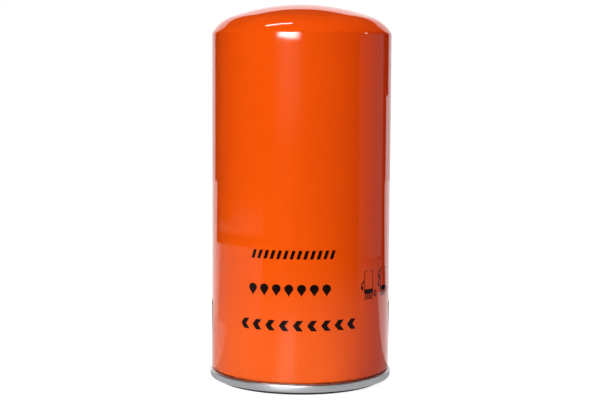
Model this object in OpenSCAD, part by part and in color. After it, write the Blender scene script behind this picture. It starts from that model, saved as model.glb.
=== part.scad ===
// Spin-on engine oil filter: a deep-drawn can double-seamed to a gasket lid and thread plate,
// with a pleated element, a sprung bypass valve and a rubber anti-drainback valve inside.
// It stands on its gasket: the origin is the centre of the sealing face, +Z runs up to the dome.

/* [Can] */
// Outer diameter of the can
can_d = 108; // [104:1:135]
// Height from the gasket's sealing face to the top of the dome
total_h = 226.5; // [150:0.5:300]
// Sheet thickness of the can
can_t = 0.9; // [0.7:0.05:1.1]
// Radius of the corner at the top of the straight side
knuckle_r = 3; // [2:0.25:8]
// How far that corner turns inwards, in degrees
knuckle_turn = 32; // [15:1:45]
// Radius of the rounded haunch above the corner
haunch_r = 22.5; // [10:0.5:30]
// Radius of the shallow crown
crown_r = 124; // [100:1:400]

/* [Rolled seam] */
// Sheet thickness of the seaming lid
lid_t = 0.7; // [0.5:0.05:0.85]
// How far the seam stands out from the can's side
seam_proud = 1; // [0.5:0.1:2]
// Height of the seam
seam_h = 4.5; // [3:0.25:6]
// Gap between two folded layers
seam_gap = 0.1; // [0.05:0.01:0.15]
// Height of the neck where the can draws in to the seam
neck_h = 1.2; // [0.8:0.1:3]

/* [Mounting gasket] */
// Width of the gasket's section
gasket_w = 5; // [3:0.25:7]
// Thickness of the gasket
gasket_h = 6; // [5:0.25:7]
// How far the gasket stands below the seam
gasket_proud = 2; // [1:0.25:3]
// Clearance between the gasket and its groove
gasket_gap = 0.3; // [0.1:0.05:0.5]

/* [Thread plate] */
// Thickness of the plate
plate_t = 4.5; // [3.5:0.25:6]
// How far the plate's centre stands nearer to the engine than its rim
plate_step = 3; // [2:0.25:4]
// Major diameter of the thread
thread_d = 28.58; // [22:0.01:34]
// Pitch of the thread
thread_pitch = 1.5875; // [1:0.0001:2]
// Height of the threaded hub above the plate's outer face
hub_h = 18.3; // [14:0.1:24]
// Wall of the hub outside the thread
hub_wall = 3.3; // [2.5:0.1:5]
// Number of inlet holes
inlet_count = 8; // [4:1:10]
// Diameter of an inlet hole
inlet_d = 9; // [5:0.5:10]
// Land between the hub's foot and the inlet holes
inlet_web = 2.4; // [1.5:0.1:3]
// Number of spot welds between the lid and the plate
weld_count = 8; // [4:1:12]
// Width of the plate left bare between the inlet holes and the lid
lid_land = 2; // [1:0.25:4]

/* [Anti-drainback valve] */
// Thickness of the rubber flap
flap_t = 1.4; // [1:0.1:2]
// How far the flap reaches past the inlet holes
flap_seat = 5; // [4:0.25:5.5]
// Height of the rubber collar on the hub
collar_h = 5; // [3.5:0.25:6]
// Radial thickness of the rubber collar
collar_w = 2; // [1.5:0.1:2.5]
// Gap under the closed lip and around the split in the moulding
flap_gap = 0.1; // [0.05:0.01:0.2]

/* [Element] */
// Gap between the element and the can's wall
oil_gap = 4.6; // [2:0.1:7]
// Radial gap between the centre tube and what it stands around
tube_gap = 0.4; // [0.2:0.1:2]
// Sheet thickness of the centre tube and the end caps
cap_t = 0.6; // [0.4:0.05:0.9]
// Height of an end cap's rim
cap_rim_h = 6.5; // [4:0.5:10]
// Gap between two folds of the paper where they meet the centre tube
pleat_gap = 0.2; // [0.15:0.05:2]
// Thickness of the filter paper
paper_t = 0.7; // [0.4:0.05:0.8]
// Depth of the potting compound in a cap
potting_h = 3.5; // [2:0.25:5]
// Height of solid compound under the pleats
potting_floor = 1; // [0.5:0.1:1.5]
// Diameter of a hole in the centre tube
perf_d = 5; // [3:0.5:6]
// Holes around the centre tube
perf_around = 12; // [8:2:16]
// Rows of holes in the centre tube
perf_rows = 11; // [6:1:15]
// Thickness of the seam clip's steel
clip_t = 0.4; // [0.3:0.05:0.6]
// Depth of the seam clip
clip_depth = 8; // [5:0.5:12]

/* [Grommet] */
// Height of the rubber under the lower end cap
grommet_foot_h = 2.5; // [1.5:0.25:4]
// Height of the lip above the lower end cap's sheet
grommet_lip_h = 1.2; // [0.8:0.1:2]
// How far the grommet's flanges overlap the end cap's hole
grommet_grip = 1.8; // [1:0.1:2.5]

/* [Bypass valve] */
// Radius of the port in the upper end cap
port_r = 11; // [8:0.5:12]
// How far the valve disc reaches past the port
disc_overlap = 3.6; // [2.5:0.1:4]
// Sheet thickness of the valve disc and the cage
valve_t = 0.8; // [0.6:0.05:1.2]
// Thickness of the rubber seal on the disc
seal_t = 2; // [1:0.25:3]
// Gap between the valve disc and the cage
cage_gap = 1.8; // [0.5:0.1:3]
// Depth of the cage below the end cap
cage_h = 26; // [22:0.5:32]
// Radius of the guide stem
stem_r = 2; // [1.5:0.1:3]
// Radial clearance of the stem in the cage
stem_gap = 0.06; // [0.03:0.01:0.1]
// Travel of the valve
bypass_travel = 5; // [3:0.5:6]
// Mean radius of the valve's spring
bypass_coil_r = 6.5; // [5:0.25:8]
// Wire diameter of the valve's spring
bypass_wire_d = 1.4; // [1:0.1:1.8]
// Radius of a rivet's shank
rivet_r = 1; // [0.6:0.1:1.5]
// Number of rivets
rivet_count = 4; // [3:1:6]

/* [Element spring] */
// Height of the spring as fitted
spring_h = 28.4; // [22:0.1:40]
// Wire diameter of the spring
wire_d = 3.2; // [2.5:0.1:4]
// Sheet thickness of the spring's seat
seat_t = 0.8; // [0.6:0.1:1.2]
// Height of the seat's rim
seat_rim_h = 4; // [2:0.5:6]

/* [Hidden] */
$fn = 96;
bend_steps = 5;
eps = 0.01;

// Can and seam: radii are of the middle of each sheet, from the outside in
can_r = can_d / 2;
seam_r = can_r + seam_proud;
seam_bottom = gasket_proud;
seam_top = seam_bottom + seam_h;
lid_wall_r = seam_r - lid_t / 2;
body_hook_r = lid_wall_r - lid_t / 2 - seam_gap - can_t / 2;
cover_hook_r = body_hook_r - can_t / 2 - seam_gap - lid_t / 2;
can_leg_r = cover_hook_r - lid_t / 2 - seam_gap - can_t / 2;
chuck_wall_r = can_leg_r - can_t / 2 - seam_gap - lid_t / 2;
neck_gap = 0.35;
body_fold_z = seam_bottom + lid_t + seam_gap + can_t / 2;
body_hook_top = seam_top - lid_t - seam_gap;
cover_hook_bottom = body_fold_z + can_t / 2 + seam_gap;
neck_bottom = seam_top + neck_gap;
neck_bend = 0.7;
side_start = 2;

// Dome: corner, haunch and crown are arcs, each tangent to the next and the corner to the side
knuckle_c = can_r - knuckle_r;
haunch_c = knuckle_c - (haunch_r - knuckle_r) * cos(knuckle_turn);
haunch_end = acos(haunch_c / (crown_r - haunch_r));
haunch_drop = (haunch_r - knuckle_r) * sin(knuckle_turn);
crown_drop = (crown_r - haunch_r) * sin(haunch_end);
shoulder_z = total_h - crown_r + crown_drop + haunch_drop;
haunch_z = shoulder_z - haunch_drop;
crown_z = haunch_z - crown_drop;

// Gasket groove and lid
hub_step = 1;
hub_fillet = 2;
gasket_outer_r = chuck_wall_r - lid_t / 2 - gasket_gap;
gasket_inner_r = gasket_outer_r - gasket_w;
gasket_edge = 0.5;
groove_wall_r = gasket_inner_r - gasket_gap / 2 - lid_t / 2;
groove_z = gasket_h + lid_t / 2;
lid_face_z = gasket_h - plate_step + lid_t / 2;
inlet_ring_r = thread_d / 2 + hub_wall + hub_step + hub_fillet + inlet_web + inlet_d / 2;
lid_inner_r = inlet_ring_r + inlet_d / 2 + lid_land;
lid_bend = 0.8;
seam_bend = 1;
hook_bend = 0.5;
weld_ring_r = (lid_inner_r + groove_wall_r) / 2;
weld_r = 3.2;
weld_depth = 0.3;

// Thread plate
plate_bottom = lid_face_z + lid_t / 2;
plate_top = plate_bottom + plate_t;
rim_bottom = groove_z + lid_t / 2;
rim_top = rim_bottom + plate_t;
plate_gap = 0.1;
centre_r = groove_wall_r - lid_t / 2 - plate_gap;
plate_r = can_leg_r - can_t / 2 - 0.5;
thread_depth = 0.54 * thread_pitch;
thread_root_r = thread_d / 2;
thread_crest_r = thread_root_r - thread_depth;
crest_w = thread_pitch / 4;
root_w = thread_pitch / 8;
hub_r = thread_root_r + hub_wall;
hub_top = plate_bottom + hub_h;
thread_chamfer = 1.2;
groove_count = floor((hub_h - 2 * thread_chamfer - crest_w) / thread_pitch);
groove_start = plate_bottom + (hub_h - groove_count * thread_pitch) / 2;

// Anti-drainback valve
collar_z = hub_top - collar_h - 3;
collar_r = hub_r + collar_w;
web_r = collar_r + 1;
web_w = 2.5;
web_z = collar_z + 0.3 * collar_h;
lip_z = plate_top + flap_gap + flap_t / 2;
lip_w = 2.5;
flap_r = inlet_ring_r + inlet_d / 2 + flap_seat;

// Bypass valve and centre tube: the tube stands around the cage below and the grommet's lip
grommet_neck_r = hub_r - 0.6;
grommet_bore_r = thread_root_r + 0.7;
disc_r = port_r + disc_overlap;
cage_r = disc_r + cage_gap;
cage_bend = 1;
rivet_head_r = 1.7 * rivet_r;
rivet_head_h = 0.8;
rivet_gap = 0.1;
rivet_ring_r = cage_r + valve_t / 2 + cage_bend + rivet_gap + rivet_head_r;
cage_flange_r = rivet_ring_r + rivet_head_r + rivet_gap;
tube_r = max(grommet_neck_r + grommet_grip, cage_flange_r) + tube_gap + cap_t;

// Element spring and seat: the spring fills the room between the seat and the dome
seat_inner_r = cage_flange_r + 0.5;
seat_land = 1.4;
seat_bend = 1;
coil_r = seat_inner_r + seat_land + wire_d / 2;
seat_r = coil_r + wire_d / 2 + 2.5;
inner_crown_r = crown_r - can_t;
coil_reach = coil_r + wire_d / 2;
coil_top = crown_z + sqrt(inner_crown_r * inner_crown_r - coil_reach * coil_reach) - 0.1;
coil_bottom = coil_top - spring_h;
element_coils = 4.8;

// Element
element_z = hub_top + grommet_foot_h;
element_top = coil_bottom - seat_t;
element_len = element_top - element_z;
cap_r = can_r - can_t - oil_gap;
pleat_outer_r = cap_r - cap_t - 0.4;
pleat_inner_r = tube_r + 0.4;
media_bottom = element_z + cap_t + potting_floor;
media_top = element_top - cap_t - potting_floor;
fold_half = paper_t + 0.4;
valley_half = 0.35;
pleat_count = floor(2 * PI * pleat_inner_r / (2 * (valley_half + paper_t) + pleat_gap));
bead_count = 3;
bead_h = 2.4;
bead_t = 0.5;

// Heights in the bypass valve
cap_under = element_top - cap_t;
disc_top = cap_under - seal_t;
disc_rim_h = 3;
cage_bottom = cap_under - cage_h;
window_w = 14;
window_top = disc_top - 3;
window_bottom = cage_bottom + 5;
stem_head_r = 2 * stem_r;
stem_head_h = 1.2;
stem_tail = 4;
bypass_coils = 6;

// ---- Profiles ----

function unit(v) = v / norm(v);
function left(v) = [-v.y, v.x];
function flat(p) = [p.x, p.y];
function reversed(p) = [for (i = [len(p) - 1:-1:0]) p[i]];

// Points along an arc from angle a to angle b
function arc(c, r, a, b, n) = [for (i = [0:n]) let (t = a + (b - a) * i / n) c + r * [cos(t), sin(t)]];

function skip_first(p) = [for (i = [1:len(p) - 1]) p[i]];

// The bend of radius r where the path a, b, c turns at b
function bend(a, b, c, r) =
    let (u = unit(b - a), v = unit(c - b), turn = atan2(u.x * v.y - u.y * v.x, u * v))
    r <= 0 || abs(turn) < 0.1 ? [b] :
    let (side = sign(turn), start = b - u * r * tan(abs(turn) / 2), from = -side * left(u))
    arc(start - r * from, r, atan2(from.y, from.x), atan2(from.y, from.x) + turn, bend_steps);

// A path of [x, y, bend radius] corners as plain points
function rounded(p) = [
    flat(p[0]),
    for (i = [1:len(p) - 2]) each bend(flat(p[i - 1]), flat(p[i]), flat(p[i + 1]), p[i].z),
    flat(p[len(p) - 1])
];

// The path moved sideways by d, with mitred corners
function shifted(p, d) = [
    for (i = [0:len(p) - 1])
        let (u = unit(i > 0 ? p[i] - p[i - 1] : p[1] - p[0]),
             v = i < len(p) - 1 ? unit(p[i + 1] - p[i]) : u,
             n = unit(left(u) + left(v)))
        p[i] + n * d / (n * left(u))
];

// A sheet of thickness t bent along the middle line p and spun about the axis
module spun_sheet(p, t) {
    middle = rounded(p);
    rotate_extrude() polygon(concat(shifted(middle, t / 2), reversed(shifted(middle, -t / 2))));
}

module spun(points) rotate_extrude() polygon(points);

// Copies of the children around the axis
module around(count, from = 0) for (i = [0:count - 1]) rotate(from + i * 360 / count) children();

// ---- Springs ----

// Height along the wire after u turns, with one closed turn at each end
function coil_height(u, coils, wire, rise) =
    let (closed = wire * 1.03, pitch = (rise - 2 * closed) / (coils - 2))
    u < 1 ? closed * u :
    u > coils - 1 ? rise - closed * (coils - u) :
    closed + pitch * (u - 1);

// Points of the rings around the wire of a spring that stands on z = 0
function coil_points(r, wire, coils, h, per_turn, sides) =
    let (steps = round(coils * per_turn), rise = h - wire)
    [for (i = [0:steps])
        let (a = i * 360 / per_turn, out = [cos(a), sin(a), 0],
             z = wire / 2 + coil_height(i / per_turn, coils, wire, rise))
        for (k = [0:sides - 1])
            let (b = k * 360 / sides)
            r * out + [0, 0, z] + wire / 2 * (cos(b) * out + [0, 0, sin(b)])];

// Two triangles for each quad between rings, and a fan on each end
function coil_faces(rings, sides) = concat(
    [for (i = [0:rings - 2]) for (k = [0:sides - 1])
        let (a = i * sides + k, b = i * sides + (k + 1) % sides)
        each [[a, b, b + sides], [a, b + sides, a + sides]]],
    [for (k = [1:sides - 2]) [0, k + 1, k]],
    [for (k = [1:sides - 2]) [(rings - 1) * sides, (rings - 1) * sides + k, (rings - 1) * sides + k + 1]]
);

module coil_spring(r, wire, coils, h, per_turn = 36, sides = 8) {
    points = coil_points(r, wire, coils, h, per_turn, sides);
    polyhedron(points, coil_faces(len(points) / sides, sides));
}

// ---- Housing ----

// The can's outline at a distance inside its outer face, from the neck up to the axis
function dome_points(inset) = concat(
    arc([knuckle_c, shoulder_z], knuckle_r - inset, 0, knuckle_turn, 6),
    skip_first(arc([haunch_c, haunch_z], haunch_r - inset, knuckle_turn, haunch_end, 10)),
    [for (i = [1:12])
        let (t = haunch_end + (90 - haunch_end) * i / 12)
        [i == 12 ? 0 : (crown_r - inset) * cos(t), crown_z + (crown_r - inset) * sin(t)]]
);

// The path of the can's foot, from the tip of its hook up to the straight side
can_foot = rounded([
    [body_hook_r, body_hook_top, 0],
    [body_hook_r, body_fold_z, 0.6],
    [can_leg_r, body_fold_z, 0.6],
    [can_leg_r, neck_bottom, neck_bend],
    [can_r - can_t / 2, neck_bottom + neck_h, neck_bend],
    [can_r - can_t / 2, neck_bottom + neck_h + side_start, 0]
]);

module canister() color("orangered")
    spun(concat(
        shifted(can_foot, can_t / 2),
        dome_points(can_t),
        reversed(dome_points(0)),
        reversed(shifted(can_foot, -can_t / 2))
    ));

module seam_lid() color("silver") difference() {
    spun_sheet([
        [lid_inner_r, lid_face_z, 0],
        [groove_wall_r, lid_face_z, lid_bend],
        [groove_wall_r, groove_z, lid_bend],
        [chuck_wall_r, groove_z, lid_bend],
        [chuck_wall_r, seam_bottom + lid_t / 2, seam_bend],
        [lid_wall_r, seam_bottom + lid_t / 2, seam_bend],
        [lid_wall_r, seam_top - lid_t / 2, hook_bend],
        [cover_hook_r, seam_top - lid_t / 2, hook_bend],
        [cover_hook_r, cover_hook_bottom, 0]
    ], lid_t);
    around(weld_count, 180 / inlet_count)
        translate([weld_ring_r, 0, lid_face_z - lid_t / 2 + weld_depth - weld_r]) sphere(weld_r);
}

module mounting_gasket() color("dimgray")
    spun([
        [gasket_inner_r + gasket_edge, 0],
        [gasket_outer_r - gasket_edge, 0],
        [gasket_outer_r, gasket_edge],
        [gasket_outer_r, gasket_h - gasket_edge],
        [gasket_outer_r - gasket_edge, gasket_h],
        [gasket_inner_r + gasket_edge, gasket_h],
        [gasket_inner_r, gasket_h - gasket_edge],
        [gasket_inner_r, gasket_edge]
    ]);

// One turn of the internal thread, from the crest out to the root
module thread_groove()
    spun([
        [thread_crest_r - 1, crest_w / 2],
        [thread_crest_r, crest_w / 2],
        [thread_root_r, (thread_pitch - root_w) / 2],
        [thread_root_r, (thread_pitch + root_w) / 2],
        [thread_crest_r, thread_pitch - crest_w / 2],
        [thread_crest_r - 1, thread_pitch - crest_w / 2]
    ]);

module thread_plate() color("lightgray") difference() {
    spun(concat(
        [
            [thread_crest_r + thread_chamfer, plate_bottom],
            [centre_r - 0.6, plate_bottom],
            [centre_r, plate_bottom + 0.6],
            [centre_r, rim_bottom],
            [plate_r - 0.4, rim_bottom],
            [plate_r, rim_bottom + 0.4],
            [plate_r, rim_top - 1],
            [plate_r - 1, rim_top],
            [centre_r + 1, rim_top],
            [centre_r - plate_step, plate_top]
        ],
        arc([hub_r + hub_step + hub_fillet, plate_top + hub_fillet], hub_fillet, 270, 180, bend_steps),
        [
            [hub_r + hub_step, collar_z],
            [hub_r, collar_z],
            [hub_r, hub_top - 0.5],
            [hub_r - 0.5, hub_top],
            [thread_crest_r + thread_chamfer, hub_top],
            [thread_crest_r, hub_top - thread_chamfer],
            [thread_crest_r, plate_bottom + thread_chamfer]
        ]
    ));
    for (i = [0:groove_count - 1]) translate([0, 0, groove_start + i * thread_pitch]) thread_groove();
    around(inlet_count) translate([inlet_ring_r, 0, plate_bottom - 1]) cylinder(h = plate_t + 2, d = inlet_d);
}

// ---- Anti-drainback valve: one rubber moulding, parted where it flexes ----

module drainback_collar() color("darkred")
    spun([
        [hub_r, collar_z],
        [collar_r, collar_z],
        [web_r, web_z - flap_t / 2],
        [web_r, web_z + flap_t / 2],
        [collar_r, web_z + flap_t],
        [collar_r, collar_z + collar_h],
        [hub_r, collar_z + collar_h]
    ]);

module drainback_flap() color("darkred")
    spun_sheet([
        [web_r + flap_gap, web_z, 0],
        [web_r + web_w, web_z, 2],
        [flap_r - lip_w, lip_z, 2],
        [flap_r, lip_z, 0]
    ], flap_t);

// ---- Element ----

module element_grommet() color("black")
    spun([
        [grommet_bore_r, hub_top],
        [grommet_neck_r + grommet_grip, hub_top],
        [grommet_neck_r + grommet_grip, element_z],
        [grommet_neck_r, element_z],
        [grommet_neck_r, element_z + cap_t],
        [grommet_neck_r + grommet_grip, element_z + cap_t],
        [grommet_neck_r + grommet_grip - 0.8, element_z + cap_t + grommet_lip_h],
        [grommet_bore_r, element_z + cap_t + grommet_lip_h]
    ]);

// A pressed cap whose face starts at hole_r, with its rim upwards
module end_cap(hole_r) {
    spun_sheet([
        [hole_r, cap_t / 2, 0],
        [cap_r - cap_t / 2, cap_t / 2, 1],
        [cap_r - cap_t / 2, cap_rim_h, 0]
    ], cap_t);
}

module lower_end_cap() color("gainsboro") translate([0, 0, element_z]) end_cap(grommet_neck_r);

module upper_end_cap() color("gainsboro") difference() {
    translate([0, 0, element_top]) mirror([0, 0, 1]) end_cap(port_r);
    around(rivet_count, 45) translate([rivet_ring_r, 0, cap_under - 1]) cylinder(h = cap_t + 2, r = rivet_r);
}

function polar(r, a) = r * [cos(a), sin(a)];

// The outer and inner outlines of the paper, two points at each fold
function pleat_edge(tip_r, tip_half, valley_r, half) = [
    for (i = [0:pleat_count - 1])
        let (a = i * 360 / pleat_count, b = a + 180 / pleat_count,
             ta = asin(tip_half / tip_r), va = asin(half / valley_r))
        each [polar(tip_r, a - ta), polar(tip_r, a + ta), polar(valley_r, b - va), polar(valley_r, b + va)]
];

// The paper's section: a band of even thickness between its two outlines
module pleat_section() {
    outer = pleat_edge(pleat_outer_r, fold_half, pleat_inner_r + paper_t, valley_half);
    inner = pleat_edge(pleat_outer_r - paper_t, fold_half - paper_t, pleat_inner_r, valley_half + paper_t);
    count = 4 * pleat_count;
    polygon(concat(outer, inner), [[for (i = [0:count - 1]) i], [for (i = [0:count - 1]) count + i]]);
}

module pleated_media() color("khaki")
    translate([0, 0, media_bottom]) linear_extrude(media_top - media_bottom) pleat_section();

// Compound that fills an end cap around the paper, measured up from the cap's face
module potting() {
    outer_r = cap_r - cap_t;
    rotate_extrude() polygon([
        [tube_r, cap_t],
        [outer_r - 0.7, cap_t],
        [outer_r, cap_t + 0.7],
        [outer_r, cap_t + potting_floor],
        [tube_r, cap_t + potting_floor]
    ]);
    translate([0, 0, cap_t + potting_floor]) linear_extrude(potting_h - potting_floor) difference() {
        circle(outer_r);
        circle(tube_r);
        pleat_section();
    }
}

module lower_potting() color("olivedrab") translate([0, 0, element_z]) potting();

module upper_potting() color("olivedrab") translate([0, 0, element_top]) mirror([0, 0, 1]) potting();

// A folded strip that holds the two ends of the paper along one fold
module media_seam_clip() color("silver") {
    bottom = element_z + cap_rim_h + 0.5;
    length = element_top - cap_rim_h - 0.5 - bottom;
    translate([pleat_outer_r - clip_depth, 0, bottom]) difference() {
        translate([0, -fold_half - clip_t, 0]) cube([clip_depth + clip_t, 2 * (fold_half + clip_t), length]);
        translate([-1, -fold_half, -1]) cube([clip_depth + 1, 2 * fold_half, length + 2]);
    }
}

// Beads of glue that keep the folds apart, each a ring around the outside of the paper
module pleat_beads() color("ivory")
    for (i = [1:bead_count])
        translate([0, 0, element_z + element_len * i / (bead_count + 1)])
            difference() {
                cylinder(h = bead_h, r = pleat_outer_r + bead_t, center = true);
                cylinder(h = bead_h + 1, r = pleat_outer_r, center = true);
                translate([0, -fold_half - clip_t - 0.3, -bead_h])
                    cube([cap_r, 2 * (fold_half + clip_t + 0.3), 2 * bead_h]);
            }

module centre_tube() color("lightsteelblue") {
    bottom = element_z + cap_t;
    length = cap_under - bottom;
    pitch = length / (perf_rows + 1);
    translate([0, 0, bottom]) difference() {
        cylinder(h = length, r = tube_r);
        translate([0, 0, -1]) cylinder(h = length + 2, r = tube_r - cap_t);
        for (row = [1:perf_rows])
            around(perf_around, (row % 2) * 180 / perf_around)
                translate([tube_r - cap_t - 1, 0, row * pitch]) rotate([0, 90, 0])
                    cylinder(h = cap_t + 2, d = perf_d, $fn = 24);
    }
}

// ---- Bypass valve ----

module bypass_cage() color("silver") difference() {
    spun_sheet([
        [cage_flange_r, cap_under - valve_t / 2, 0],
        [cage_r + valve_t / 2, cap_under - valve_t / 2, cage_bend],
        [cage_r + valve_t / 2, cage_bottom + valve_t / 2, 2],
        [stem_r + stem_gap, cage_bottom + valve_t / 2, 0]
    ], valve_t);
    for (a = [0, 90]) rotate(a)
        translate([-cage_flange_r, -window_w / 2, window_bottom])
            cube([2 * cage_flange_r, window_w, window_top - window_bottom]);
    around(rivet_count, 45) translate([rivet_ring_r, 0, cap_under - 2]) cylinder(h = 3, r = rivet_r);
}

module bypass_rivets() color("gray") around(rivet_count, 45) translate([rivet_ring_r, 0, 0]) {
    translate([0, 0, cap_under - valve_t - rivet_head_h]) cylinder(h = rivet_head_h, r = rivet_head_r);
    translate([0, 0, cap_under - valve_t - eps]) cylinder(h = valve_t + cap_t + 2 * eps, r = rivet_r);
    translate([0, 0, element_top]) cylinder(h = rivet_head_h, r = rivet_head_r);
}

module bypass_disc() color("gold")
    spun_sheet([
        [stem_r, disc_top - valve_t / 2, 0],
        [disc_r - valve_t / 2, disc_top - valve_t / 2, 1],
        [disc_r - valve_t / 2, disc_top - disc_rim_h, 0]
    ], valve_t);

module bypass_seal() color("black")
    spun([
        [port_r - 0.5, disc_top],
        [disc_r - 1.4, disc_top],
        [disc_r - 0.4, disc_top + 0.5],
        [disc_r - 0.4, cap_under],
        [port_r - 0.5, cap_under]
    ]);

module bypass_stem() color("gray") {
    translate([0, 0, disc_top]) cylinder(h = stem_head_h, r1 = stem_head_r, r2 = stem_head_r - 0.4);
    translate([0, 0, cage_bottom - stem_tail]) cylinder(h = disc_top - cage_bottom + stem_tail + eps, r = stem_r);
}

module bypass_spring() color("darkgray")
    translate([0, 0, cage_bottom + valve_t])
        coil_spring(bypass_coil_r, bypass_wire_d, bypass_coils, disc_top - valve_t - cage_bottom - valve_t, 24);

// ---- Element spring ----

module spring_seat() color("gainsboro")
    spun_sheet([
        [seat_inner_r, element_top + seat_t / 2, 0],
        [seat_r, element_top + seat_t / 2, seat_bend],
        [seat_r, element_top + seat_rim_h, 0]
    ], seat_t);

module element_spring() color("darkgray")
    translate([0, 0, coil_bottom]) coil_spring(coil_r, wire_d, element_coils, coil_top - coil_bottom, 40, 10);

canister();
seam_lid();
thread_plate();
mounting_gasket();
drainback_collar();
drainback_flap();
element_grommet();
lower_end_cap();
upper_end_cap();
lower_potting();
upper_potting();
pleated_media();
media_seam_clip();
pleat_beads();
centre_tube();
bypass_cage();
bypass_rivets();
bypass_disc();
bypass_seal();
bypass_stem();
bypass_spring();
spring_seat();
element_spring();
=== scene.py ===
"""A tall spin-on oil filter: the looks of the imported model, its stage, lights and camera."""

import math

import bmesh
import bpy
from mathutils import Matrix, Vector


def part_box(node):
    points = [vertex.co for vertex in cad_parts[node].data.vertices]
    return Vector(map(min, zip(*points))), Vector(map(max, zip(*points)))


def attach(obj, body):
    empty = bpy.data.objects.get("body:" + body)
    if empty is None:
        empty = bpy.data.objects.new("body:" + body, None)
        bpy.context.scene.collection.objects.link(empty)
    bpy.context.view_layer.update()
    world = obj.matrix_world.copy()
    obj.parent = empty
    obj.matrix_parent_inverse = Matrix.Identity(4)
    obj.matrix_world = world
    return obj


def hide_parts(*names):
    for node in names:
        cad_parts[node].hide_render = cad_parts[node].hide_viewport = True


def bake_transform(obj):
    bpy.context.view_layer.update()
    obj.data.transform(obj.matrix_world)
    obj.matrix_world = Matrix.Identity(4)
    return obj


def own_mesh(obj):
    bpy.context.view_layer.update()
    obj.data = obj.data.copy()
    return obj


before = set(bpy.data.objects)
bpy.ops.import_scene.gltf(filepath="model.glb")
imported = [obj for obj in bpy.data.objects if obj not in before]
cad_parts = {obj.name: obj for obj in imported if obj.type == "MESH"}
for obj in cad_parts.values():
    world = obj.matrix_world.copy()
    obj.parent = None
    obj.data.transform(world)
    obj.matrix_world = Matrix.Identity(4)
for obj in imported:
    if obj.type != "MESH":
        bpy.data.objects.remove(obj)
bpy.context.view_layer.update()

MM = 0.001
TAU = 2 * math.pi


def extent(node):
    """Lowest and highest corner of a CAD node, in millimetres."""
    low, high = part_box(node)
    return [v / MM for v in low], [v / MM for v in high]


# ---- Sizes, in millimetres, as in the design ----

CAN_HIGH = extent("canister")[1]
SEAM_LOW, SEAM_HIGH = extent("seam_lid")
PLATE_LOW, PLATE_HIGH = extent("thread_plate")
GASKET_HIGH = extent("mounting_gasket")[1]
COLLAR_LOW, COLLAR_HIGH = extent("drainback_collar")
FLAP_LOW, FLAP_HIGH = extent("drainback_flap")

CAN_R = 54.0
CAN_T = 0.9
KNUCKLE_R = 3.0
KNUCKLE_TURN = 32.0
HAUNCH_R = 22.5
CROWN_R = 124.0
TOTAL_H = CAN_HIGH[2]
LID_T = 0.7
SEAM_R = SEAM_HIGH[0]
SEAM_BOTTOM = SEAM_LOW[2]
SEAM_TOP = SEAM_HIGH[2]
SEAM_GAP = 0.1
NECK_GAP = 0.35
NECK_BOTTOM = SEAM_TOP + NECK_GAP
NECK_H = 1.2
LID_WALL_R = SEAM_R - LID_T / 2
BODY_HOOK_R = LID_WALL_R - LID_T / 2 - SEAM_GAP - CAN_T / 2
COVER_HOOK_R = BODY_HOOK_R - CAN_T / 2 - SEAM_GAP - LID_T / 2
CAN_LEG_R = COVER_HOOK_R - LID_T / 2 - SEAM_GAP - CAN_T / 2
CHUCK_WALL_R = CAN_LEG_R - CAN_T / 2 - SEAM_GAP - LID_T / 2
BODY_FOLD_Z = SEAM_BOTTOM + LID_T + SEAM_GAP + CAN_T / 2

GASKET_OUTER_R = GASKET_HIGH[0]
GASKET_W = 5.0
GASKET_INNER_R = GASKET_OUTER_R - GASKET_W
GASKET_CLEARANCE = 0.15
PLATE_CLEARANCE = 0.1
GASKET_H = GASKET_HIGH[2]
GROOVE_WALL_R = GASKET_INNER_R - GASKET_CLEARANCE - LID_T / 2
GROOVE_Z = GASKET_H + LID_T / 2
PLATE_STEP = 3.0
LID_FACE_Z = GASKET_H - PLATE_STEP + LID_T / 2

PLATE_BOTTOM = PLATE_LOW[2]
PLATE_T = 4.5
PLATE_TOP = PLATE_BOTTOM + PLATE_T
RIM_BOTTOM = GROOVE_Z + LID_T / 2
RIM_TOP = RIM_BOTTOM + PLATE_T
CENTRE_R = GROOVE_WALL_R - LID_T / 2 - PLATE_CLEARANCE
PLATE_R = PLATE_HIGH[0]
HUB_TOP = PLATE_HIGH[2]
PITCH = 1.5875
THREAD_D = 28.58
THREAD_DEPTH = 0.54 * PITCH
THREAD_CHAMFER = 0.9
ROOT_R = THREAD_D / 2
CREST_R = ROOT_R - THREAD_DEPTH
HUB_WALL = 3.3
HUB_R = ROOT_R + HUB_WALL
HUB_EDGE = 0.5
HUB_STEP = 1.0
HUB_FILLET = 2.0
INLETS = 8
INLET_R = 4.5
INLET_MARGIN = 2.4
INLET_RING_R = HUB_R + HUB_STEP + HUB_FILLET + INLET_MARGIN + INLET_R
LID_MARGIN = 2
LID_INNER_R = INLET_RING_R + INLET_R + LID_MARGIN

COLLAR_Z = COLLAR_LOW[2]
COLLAR_TOP = COLLAR_HIGH[2]
COLLAR_T = 2
COLLAR_R = HUB_R + COLLAR_T
COLLAR_EDGE = 0.4
WEB_Z = COLLAR_Z + 0.3 * (COLLAR_TOP - COLLAR_Z)
FLAP_R = FLAP_HIGH[0]
FLAP_T = 1.4
WEB_W = 2.5
FLAP_LIP_Z = FLAP_LOW[2] + FLAP_T / 2

# ---- Outlines ----


def arc(centre, radius, start, end, count):
    """Points along an arc, angles in degrees."""
    points = []
    for i in range(count + 1):
        t = math.radians(start + (end - start) * i / count)
        points.append((centre[0] + radius * math.cos(t), centre[1] + radius * math.sin(t)))
    return points


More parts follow.
